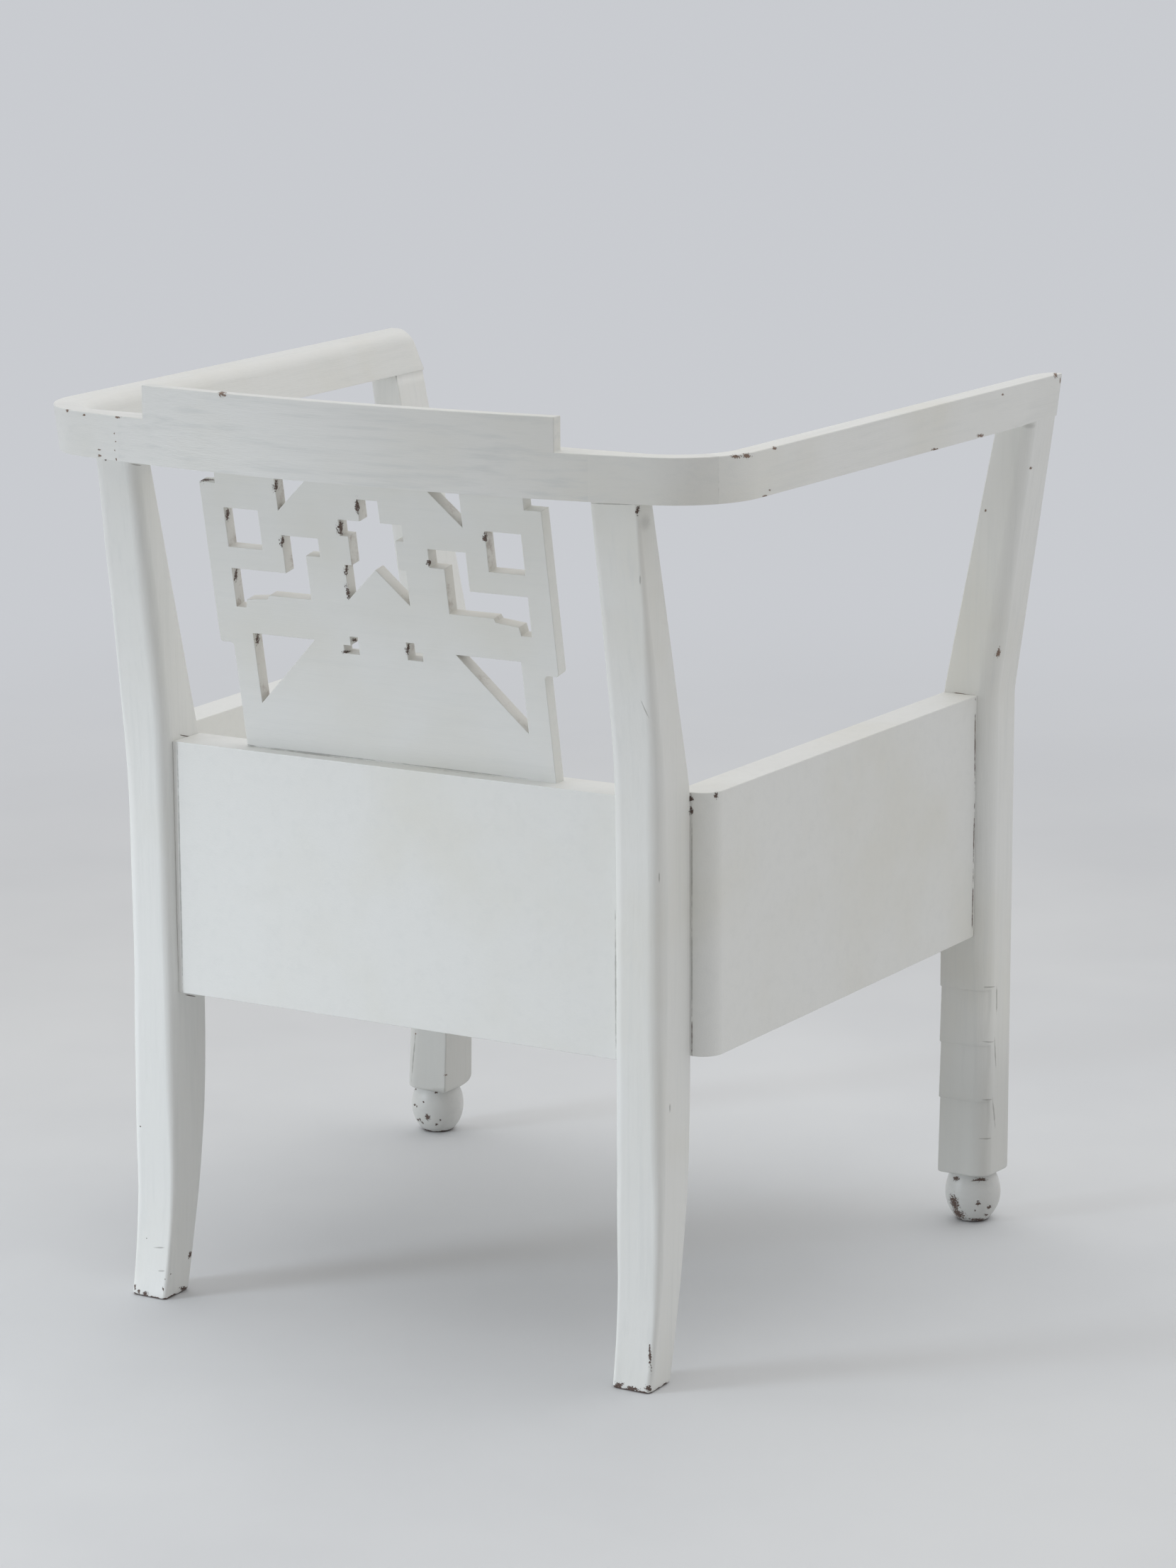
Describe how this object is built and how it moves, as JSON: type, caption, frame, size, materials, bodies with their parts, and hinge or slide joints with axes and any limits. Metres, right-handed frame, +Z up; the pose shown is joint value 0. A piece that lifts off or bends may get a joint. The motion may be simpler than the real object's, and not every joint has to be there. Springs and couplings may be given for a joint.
{
  "type": "art deco armchair",
  "caption": "White-painted low armchair: deep boxed seat, bent horseshoe rail, fretted back splat, sabre rear legs and tiered front legs on ball feet.",
  "frame": {"origin": "on the floor, at the middle of the chair's width and depth", "axes": "+Z up, -Y the way a sitter faces, +X to the sitter's left, X = 0 the plane of symmetry"},
  "size_m": [0.6494, 0.59, 0.75],
  "materials": {
    "painted_wood": "brushed off-white satin paint, worn and chipped to brown wood",
    "painted_ball": "off-white paint, heavily worn, brown wood showing",
    "painted_seat": "plain off-white paint",
    "bare_wood": "bare beech, aged",
    "inner_wood": "bare beech",
    "nail_steel": "dull, slightly rusted wire"
  },
  "bodies": {
    "root": {"crest_rail": "painted_wood", "rail_corner_right": "painted_wood", "rail_corner_left": "painted_wood", "arm_right": "painted_wood", "arm_left": "painted_wood", "rear_leg_right": "painted_wood", "rear_leg_left": "painted_wood", "front_leg_right": "painted_wood", "front_leg_left": "painted_wood", "back_splat": "painted_wood", "back_apron": "painted_wood", "side_apron_right": "painted_wood", "side_apron_left": "painted_wood", "front_apron": "painted_wood", "ball_foot_right": "painted_ball", "ball_foot_left": "painted_ball", "seat_board": "painted_seat", "seat_ledger_back": "bare_wood", "seat_ledger_front": "bare_wood", "seat_ledger_right": "bare_wood", "seat_ledger_left": "bare_wood", "corner_block_back_right": "bare_wood", "corner_block_back_left": "bare_wood", "corner_block_front_right": "bare_wood", "corner_block_front_left": "bare_wood", "rail_splines": "inner_wood", "ledger_nails": "nail_steel"}
  },
  "joints": []
}
